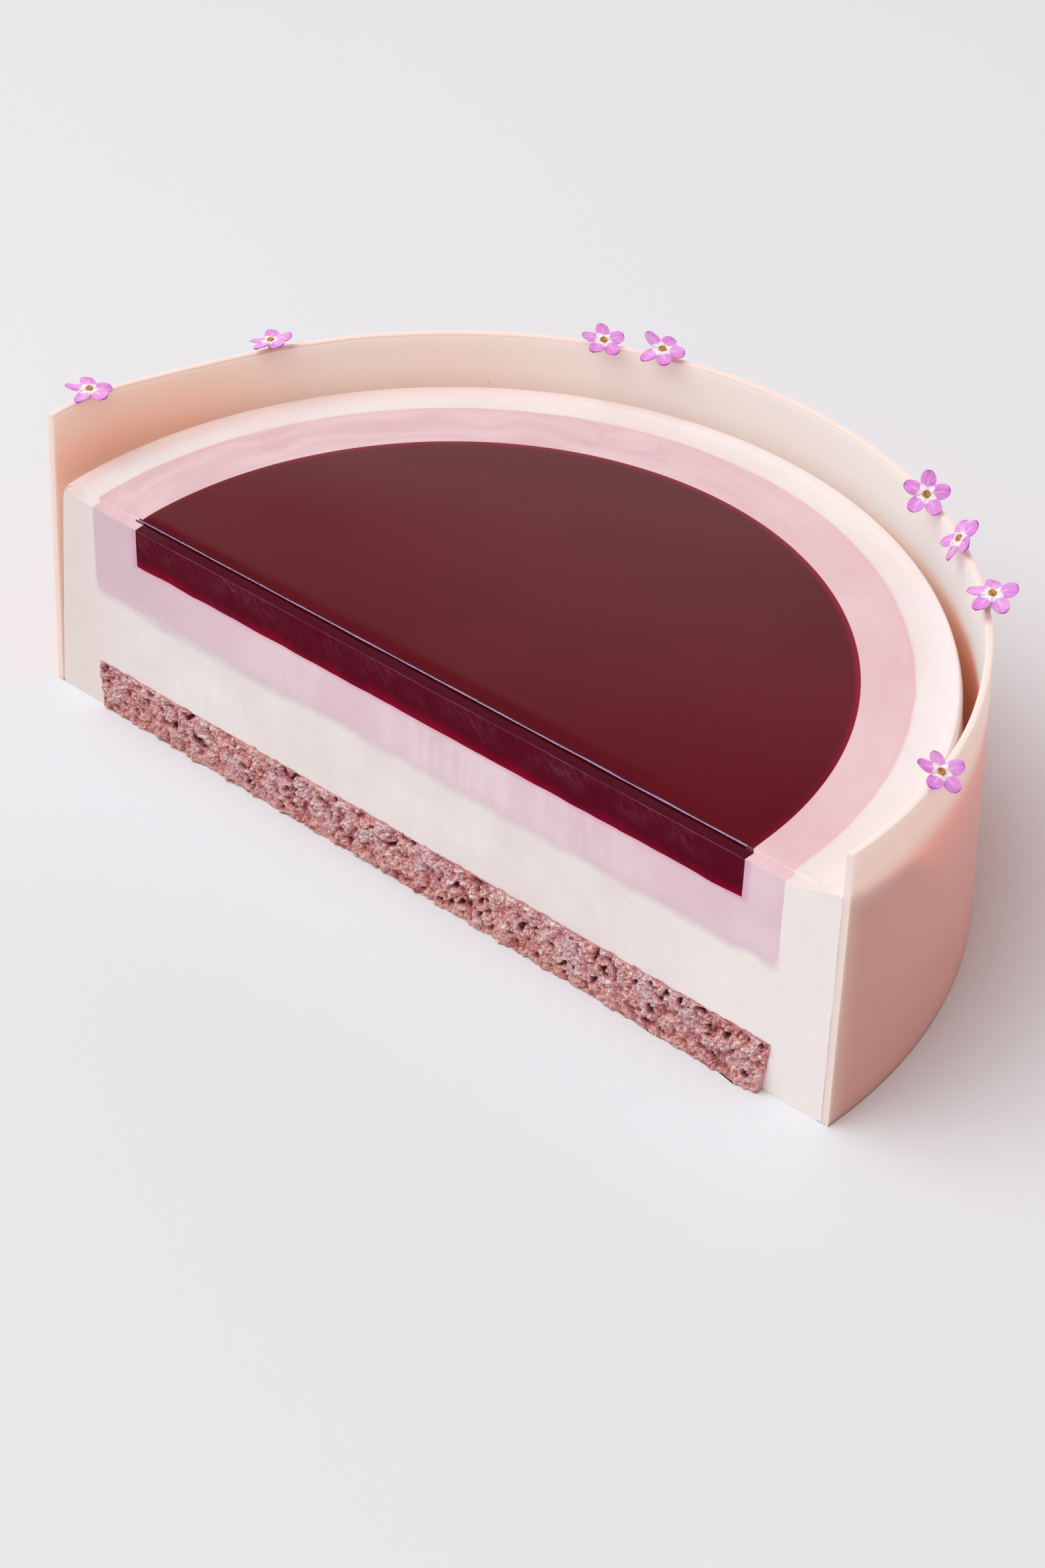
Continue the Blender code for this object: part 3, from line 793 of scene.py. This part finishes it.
def paintCollar(name, outside):
    paint = Paint(name, collar["outLowShade"], collar["roughness"], 0.35, weight=1.0, radius=(1.0, 0.94, 0.90),
                  scale=0.0042)
    spot = paint.spot()
    x, y, z = paint.parts(spot, "XYZ")
    clouds = paint.mottle(spot, 22.0)
    if outside:
        # painted light: paler in the band that stands free above the cake, where light comes through; painted
        # shade lower down; and a painted salmon glow near the cut edge
        upper = paint.ramp(z, 0.0370, 0.0440)
        paint.lay(collar["outTopLit"], upper)
        behind = paint.timesPlus(z, -knife["lean"], y)
        cutEdgeGlow = paint.ramp(behind, knife["footY"] + 0.0046, knife["footY"], 0.0, 0.9)
        paint.lay(collar["outEdgeGlow"], cutEdgeGlow, paint.minus(1.0, upper))
    else:
        # painted light and shade: palest at the back and right where the light falls, salmon at the left
        # where it lies in shade lit through the collar, and deep in the shade where it faces the cake down in
        # the gap
        left = paint.plus(paint.ramp(x, -0.015, -0.060, 0.0, 0.34),
                          paint.ramp(x, -0.066, -0.086, 0.0, 0.66))
        paint.colour = paint.blend(paint.ramp(x, 0.005, 0.045), collar["pale"], collar["palestLit"])
        paint.lay(collar["salmon"], left, paint.ramp(z, 0.0500, 0.0405, 0.68, 1.0))
        gapShade = paint.blend(paint.ramp(x, 0.035, 0.065), collar["gapShadeBack"], collar["gapShade"])
        paint.lay(gapShade, paint.ramp(z, 0.0395, 0.0350))
    paint.lay(collar["salmon"], clouds, 0.12)
    paint.lay(collar["speck"], paint.pores(spot, 160.0, 0.05, 0.10), 0.25)
    return paint.done(clouds, 0.0002, 0.3)


def paintCollarEdge():
    paint = Paint("chocolateEdge", collar["edge"], 0.45, 0.3,
                  weight=0.3, radius=(1.0, 0.88, 0.80), scale=0.0020)
    snap = paint.mottle(paint.spot(), 260.0)
    side = paint.parts(paint.spot(), "X")[0]
    paint.lay(collar["edgePeach"], paint.timesPlus(snap, 0.15, paint.ramp(side, 0.055, -0.040, 0.0, 0.50)))
    return paint.done(snap, 0.00008, 0.4)


def makeCollar():
    wall, high = collar["thickness"], collar["height"]
    rounded = wall * 0.28
    outline = [(0, high * i / 12) for i in range(12)]
    outline += arcPoints((-rounded, high - rounded), rounded, 0, 90, 3)
    outline += arcPoints((-wall + rounded, high - rounded), rounded, 90, 180, 3)
    outline += [(-wall, high * i / 12) for i in range(11, -1, -1)]
    outline = [(collar["footRadius"] + r, z) for r, z in outline]
    bm = spinSection(outline, collar["start"], 180 - 2 * collar["start"], collar["steps"])
    for v in bm.verts:
        angle = math.degrees(math.atan2(v.co.y, v.co.x)) % 360
        angle = angle - 360 if angle > 270 else angle
        share = v.co.z / high
        grown = v.co.xy.length - collar["footRadius"] + collarRadius(angle, share)
        flat = v.co.xy.normalized() * (grown + collarRipple(angle, share))
        # the top edge isn't quite level
        wave = 0.00010 * uneven(angle / 5, 4, 9) * share ** 6
        v.co = Vector((flat.x, flat.y, collarHeight(angle) * share + wave - 0.00010 * share ** 6))
    knifeCut(bm)
    knifeCut(bm, lean=collar["leftLean"], leftOnly=True)
    faceOut(bm)
    for f in bm.faces:
        middle = f.calc_center_median()
        f.material_index = int(f.normal.xy.dot(middle.xy) > 0)
        if f.normal.y < -0.9 and middle.y < 0 or f.normal.z > 0.2:
            f.material_index = 2
    paints = [paintCollar("chocolateInsideLitAndShaded", False), paintCollar("chocolateOutsideLitAndShaded", True), paintCollarEdge()]
    addPiece("chocolateCollar", bm, paints, ["chocolate_collar"])


# the cream that the blade dragged into the gap at the right: its section runs up over the edge of the glaze
dragged = {
    "cap": ((0.0775, 0.0380), (0.0742, 0.0385), (0.0748, 0.03893), (0.0760, 0.0392), (0.0770, 0.0395),
            (0.0780, 0.03985), (0.0788, 0.0402), (0.0796, 0.0404), (0.0804, 0.0406), (0.0812, 0.04085),
            (0.0820, 0.0411)),
    "wallRadius": 0.0830, "top": 0.0411, "start": -9, "sweep": 23, "steps": 46, "clear": 0.00003
}


def makeDraggedCream():
    high, foot, wall = cake["layersTop"], cake["footRadius"], dragged["wallRadius"]
    steps = [0.0001 + (high - 0.0030) * i / 14 for i in range(15)]
    outline = [(foot + (cake["topRadius"] - foot) * z / high - 0.0002, z) for z in steps]
    outline += dragged["cap"]
    outline += [(wall, 0.0001 + dragged["top"] * i / 18) for i in range(18, -1, -1)]
    bm = spinSection(outline, dragged["start"], dragged["sweep"], dragged["steps"])
    for v in bm.verts:
        # it meets the wall all the way, and slopes down into the gap away from the cut
        angle, share = math.degrees(math.atan2(v.co.y, v.co.x)), v.co.z / collar["height"]
        if v.co.xy.length > wall - 0.00001:
            inner = collarRadius(angle, share) + collarRipple(angle, share) - collar["thickness"]
            v.co.xy = v.co.xy.normalized() * (inner - dragged["clear"])
        turn = angle + 4.0
        upper = min(1, (v.co.z - high * 0.75) / (high * 0.25))
        if upper > 0 and turn > 0:
            v.co.z -= (0.00016 * turn + 0.00011 * max(0, turn - 8) ** 2) * upper
        if v.co.z > high:
            v.co.z += 0.00025 * noise.noise(v.co * 260)
    faceOut(bm)
    sliceEvenly(bm, knifeCut(bm), upwards, 0, 0.0412, cake["sliceHigh"])
    wanderCut(bm)
    addPiece("draggedCream", bm, [creamPaint, creamCutPaint], cut=True)


makeCollar()
makeDraggedCream()


# flowers on the rim

flower = {
    "petal": rgb(222, 140, 220), "petalDeep": rgb(196, 96, 186), "petalPale": rgb(236, 172, 234),
    "edge": rgb(150, 66, 156), "white": rgb(252, 242, 246), "eye": rgb(224, 148, 62),
    "eyeDeep": rgb(176, 92, 34), "eyeHollow": rgb(196, 170, 150), "hollowDeep": rgb(112, 76, 58),
    "stalk": rgb(206, 196, 168), "stalkDeep": rgb(206, 170, 160), "petals": 5, "across": 16, "rings": 9,
    "thickness": 0.00022, "eyeShare": 0.19, "notchShare": 0.33, "twist": 0.08, "zeroHeading": 42.2,
    # the ring of the eye in millimetres, and how far its hollow reaches
    "eyeOutline": ((0, 0.10), (0.20, 0.12), (0.30, 0.26), (0.42, 0.32), (0.55, 0.28), (0.64, 0.12),
                   (0.62, -0.06), (0, -0.10)), "hollow": 0.27, "bellSteps": 6, "bellSides": 20
}
# angle round the rim, inset, rise, elevation, heading, spin, diameter, rise of each petal
placed = {
    "flower_1": (176.5, 0.0002, 0.0013, 91, -50, 30, 0.0081, (-13, -2, 7, -7, -3)),
    "flower_2": (153.2, -0.0001, 0.0016, 98, -10, 15, 0.0076, (4, 2, -6, -2, 1)),
    "flower_3": (113.1, 0.0011, 0.0014, 73, -23, 21, 0.0076, (1, 0, 1, 3, 0)),
    "flower_4": (105.7, 0.0009, 0.0019, 76, -37, -13, 0.0079, (-3, -11, 15, -18, 0)),
    "flower_5": (61.9, 0.0017, 0.0022, 50, -52, 8, 0.0078, (2, 6, 6, 2, 4)),
    "flower_6": (53.5, 0.0009, 0.0014, 41, -135, 1, 0.0080, (-2, -7, 4, -4, 0)),
    "flower_7": (41.1, -0.0005, 0.0032, 83, -68, 7, 0.0081, (7, -14, -11, -11, -11)),
    "flower_8": (11.0, -0.0007, 0.0015, 66, 2, 25, 0.0076, (9, -5, 7, 2, -3)),
}


def paintPetals():
    paint = Paint("petalPink", flower["petal"], 0.55, 0.25, weight=0.4, radius=(1.0, 0.6, 1.0), scale=0.0006)
    across, away = paint.parts(paint.put("UVMap", uv_map="petalMap").outputs["UV"], "XY")
    side = paint.size(paint.minus(across, 0.5))
    laid = paint.put("CombineXYZ", {"X": paint.times(across, 16.0), "Y": away}).outputs[0]
    veins = paint.noise(laid, 1.6, 2.0)
    paint.lay(flower["petalPale"], paint.mottle(paint.spot(), 260.0))
    paint.lay(flower["petalDeep"], paint.ramp(veins, 0.42, 0.68, 0.0, 0.45))
    margin = paint.math("MAXIMUM", paint.ramp(away, 0.90, 0.99), paint.ramp(side, 0.445, 0.490))
    paint.lay(flower["edge"], margin, 0.75)
    paint.lay(flower["white"], paint.ramp(side, 0.07, 0.0), paint.ramp(away, 0.85, 0.35, 0.0, 0.60))
    paint.lay(flower["white"], paint.ramp(paint.minus(away, paint.times(side, 0.50)), 0.32, 0.21))
    return paint.done(veins, 0.00010, 0.5)


def paintPlain(name, colour, other, scale):
    paint = Paint(name, colour, 0.6, 0.3)
    grain = paint.mottle(paint.spot(), scale)
    paint.lay(other, grain)
    return paint.done(grain, 0.00006, 0.5)


def petalEdge(turn, radius):
    # turn runs from -1 at one notch to 1 at the next
    if abs(turn) > 0.99:
        half = math.pi / flower["petals"] * turn
        return Vector((math.cos(half), math.sin(half))) * flower["notchShare"] * radius
    swing = math.radians(150) * turn
    return Vector((0.60 + 0.40 * math.cos(swing), 0.33 * math.sin(swing))) * radius


def petalFan(radius, lifts):
    count, rings = flower["petals"] * flower["across"], flower["rings"]
    bm = spinRound([(ring, 0) for ring in range(rings + 2)], count)
    petalMap = bm.loops.layers.uv.new("petalMap")
    for v in bm.verts:
        ring = round(v.co.length)
        step = round(math.atan2(v.co.y, v.co.x) / (2 * math.pi) * count)
        petal = round(step / flower["across"])
        turn = (step - petal * flower["across"]) / (flower["across"] / 2)
        eye = Vector((flower["eyeShare"] * radius * min(ring, 1), 0))
        eye.rotate(Matrix.Rotation(math.pi / flower["petals"] * turn, 2))
        spot = eye.lerp(petalEdge(turn, radius), (max(0, ring - 1) / rings) ** 0.85)
        away = spot.length / radius
        for loop in v.link_loops:
            loop[petalMap].uv = (turn / 2 + 0.5, away)
        lift = away * math.tan(math.radians(lifts[petal % flower["petals"]])) * math.cos(math.pi / 2 * turn)
        lift += flower["twist"] * away * math.sin(math.pi * turn)
        lift += 0.05 * (away ** 2) * math.cos(math.pi * turn) - 0.05 * away * math.exp(-(turn / 0.16) ** 2)
        lift += 0.03 * away * uneven(2.3 * petal + radius * 900, 2 * turn, 3 * away)
        spot.rotate(Matrix.Rotation(2 * math.pi / flower["petals"] * petal, 2))
        v.co = (spot.x, spot.y, radius * lift)
    faceOut(bm)
    if sum(f.normal.z for f in bm.faces) < 0:
        bmesh.ops.reverse_faces(bm, faces=bm.faces[:])
    bmesh.ops.solidify(bm, geom=bm.faces[:], thickness=flower["thickness"])
    return bm


def facing(elevation, heading, spin):
    normal, across = direction(heading, elevation), direction(flower["zeroHeading"])
    across = (across - normal * across.dot(normal)).normalized()
    turned = Matrix((across, normal.cross(across), normal)).transposed()
    return (turned @ Matrix.Rotation(math.radians(spin), 3, "Z")).to_4x4()


def ordered(verts, pattern):
    # the same ring of points as the pattern, copied by an extrusion
    spots = {tuple(round(c, 9) for c in v.co): v for v in verts}
    return [spots[tuple(round(c, 9) for c in v.co)] for v in pattern]


def makeCalyx(name, place, foot):
    # a small bell behind the face, drawn out into the stalk that stands on the rim
    back = place @ Vector((0, 0, -flower["thickness"]))
    bell = bmesh.new()
    ring = bmesh.ops.create_circle(bell, cap_ends=True, segments=flower["bellSides"], radius=1.0)["verts"]
    for step in range(flower["bellSteps"] + 1):
        share = step / flower["bellSteps"]
        wide = (0.80 - 0.34 * min(1, share * 1.6) ** 0.7) / 1000
        tilt = place.to_3x3().to_quaternion().slerp(Matrix.Identity(3).to_quaternion(), share)
        for i, v in enumerate(ring):
            a = 2 * math.pi * i / len(ring)
            lobe = 1 + 0.10 * math.cos(5 * a) * (1 - share)
            v.co = back.lerp(foot, share) + tilt @ Vector((math.cos(a), math.sin(a), 0)) * wide * lobe
        if step < flower["bellSteps"]:
            cap = [f for f in bell.faces if all(v in ring for v in f.verts)]
            grown = bmesh.ops.extrude_face_region(bell, geom=cap)["geom"]
            if step:
                bmesh.ops.delete(bell, geom=cap, context="FACES_ONLY")
            ring = ordered([g for g in grown if isinstance(g, bmesh.types.BMVert)], ring)
    addPiece(name, bell, [stalkPaint], sharp=60)


def makeFlower(node, rimAngle, inset, rise, elevation, heading, spin, diameter, lifts):
    number = node.split("_")[1]
    out = direction(rimAngle)
    middle = collarRadius(rimAngle, 1.0) - collar["thickness"] / 2
    face = out * (middle - inset) + upwards * (collarHeight(rimAngle) + rise)
    place = Matrix.Translation(face) @ facing(elevation, heading, spin)

    petals = petalFan(diameter / 2, lifts)
    bmesh.ops.transform(petals, matrix=place, verts=petals.verts[:])
    addPiece("petals" + number, petals, [petalPaint], [node], sharp=60)

    eye = spinRound([(r * 0.001, z * 0.001) for r, z in flower["eyeOutline"]], 30)
    for f in eye.faces:
        f.material_index = int(f.calc_center_median().xy.length < flower["hollow"] / 1000 and f.normal.z > 0)
    bmesh.ops.transform(eye, matrix=place, verts=eye.verts[:])
    addPiece("eye" + number, eye, [eyePaint, hollowPaint], sharp=60)
    makeCalyx("calyx" + number, place, out * middle + upwards * collarHeight(rimAngle))


petalPaint = paintPetals()
eyePaint = paintPlain("eyeRing", flower["eye"], flower["eyeDeep"], 2500.0)
hollowPaint = paintPlain("eyeHollow", flower["eyeHollow"], flower["hollowDeep"], 4000.0)
stalkPaint = paintPlain("calyxPale", flower["stalk"], flower["stalkDeep"], 900.0)
for node, values in placed.items():
    makeFlower(node, *values)


# floor, light and camera

stage = {
    "floor": rgb(226, 227, 231), "floorShade": rgb(224, 226, 228), "aim": Vector((0, 0.02, 0.02)),
    "key": 2.95, "keyHeading": 230, "keyRise": 63, "keyAway": 1.9, "keyWidth": 2.0,
    "keyColour": (0.98, 1.022, 1.05), "world": 0.50, "worldLow": 0.80, "worldDark": 0.14, "glow": 2.9,
    "colour": (1.0, 0.93, 0.90, 1), "glowColour": (1.0, 0.68, 0.61, 1)
}
# places in metres, angles in degrees, and the lens in pixels for a picture 2352 high
view = {
    "spot": (0.28358, -0.293458, 0.3315), "heading": 132.24, "rise": -37.79, "roll": -0.326,
    "lens": 4904.7, "pictureHeight": 2352, "sensor": 36
}


def makeFloor():
    paint = Paint("paleFloor", stage["floor"], 0.7, 0.1)
    paint.lay(stage["floorShade"], paint.mottle(paint.spot(), 3.0))
    bm = bmesh.new()
    below = Matrix.Translation((0, 0, -0.00004))
    bmesh.ops.create_grid(bm, x_segments=2, y_segments=2, size=3.0, matrix=below)
    meshObject("floor", bm, [paint.done()])


def makeLight():
    lamp = bpy.data.lights.new("softbox", "AREA")
    lamp.shape = "DISK"
    lamp.size = stage["keyWidth"]
    lamp.energy = stage["key"] * math.pi ** 2 * stage["keyWidth"] ** 2 / 4
    lamp.color = stage["keyColour"]
    made = newObject("softbox", lamp)
    away = direction(stage["keyHeading"], stage["keyRise"]) * stage["keyAway"]
    made.location = stage["aim"] + away
    made.rotation_euler = (-away).to_track_quat("-Z", "Y").to_euler()


def makeCamera():
    ahead, right = direction(view["heading"], view["rise"]), direction(view["heading"] - 90)
    up = right.cross(ahead)
    roll = math.radians(view["roll"])
    rightNow = right * math.cos(roll) + up * math.sin(roll)
    upNow = up * math.cos(roll) - right * math.sin(roll)
    data = bpy.data.cameras.new("camera")
    data.lens = view["lens"] * view["sensor"] / view["pictureHeight"]
    data.sensor_width = view["sensor"]
    data.clip_start, data.clip_end = 0.01, 20
    made = newObject("camera", data)
    turned = Matrix((rightNow, upNow, -ahead)).transposed().to_4x4()
    made.matrix_world = Matrix.Translation(view["spot"]) @ turned
    bpy.context.scene.camera = made


def makeWorld():
    # even studio light, paler low behind the cake on the left and darker above that, as the glaze mirrors it
    world = bpy.data.worlds.new("studio")
    bpy.context.scene.world = world
    world.use_nodes = True
    nodes = Nodes(world.node_tree)
    aim = nodes.put("TexCoord").outputs["Generated"]
    height = nodes.parts(aim, "Z")[0]
    side = nodes.put("VectorMath", {0: aim, 1: (-0.66, 0.75, 0.0)}, operation="DOT_PRODUCT").outputs["Value"]
    behind = nodes.ramp(side, 0.25, 0.70)
    # a low band of warm light round the back, which shows through the thin collar
    back = nodes.put("VectorMath", {0: aim, 1: (-0.50, 0.87, 0.0)}, operation="DOT_PRODUCT").outputs["Value"]
    band = nodes.times(nodes.ramp(height, 0.22, 0.12), nodes.ramp(back, 0.10, 0.55))
    height = nodes.plus(height, nodes.times(nodes.minus(nodes.noise(aim, 5.0, 1.0), 0.5), 0.12))
    wall = nodes.plus(nodes.ramp(height, 0.50, 0.63, stage["worldLow"], stage["worldDark"]),
                      nodes.ramp(height, 0.72, 0.95, 0.0, stage["world"] - stage["worldDark"]))
    level = nodes.plus(nodes.times(wall, behind), nodes.times(nodes.minus(1.0, behind), stage["world"]))
    light = nodes.tree.nodes["Background"].inputs
    nodes.tree.links.new(nodes.timesPlus(band, stage["glow"], level), light["Strength"])
    nodes.tree.links.new(nodes.blend(band, stage["colour"], stage["glowColour"]), light["Color"])


makeFloor()
makeLight()
makeWorld()
bpy.context.scene.view_settings.view_transform = "Standard"
makeCamera()
print("stage set")
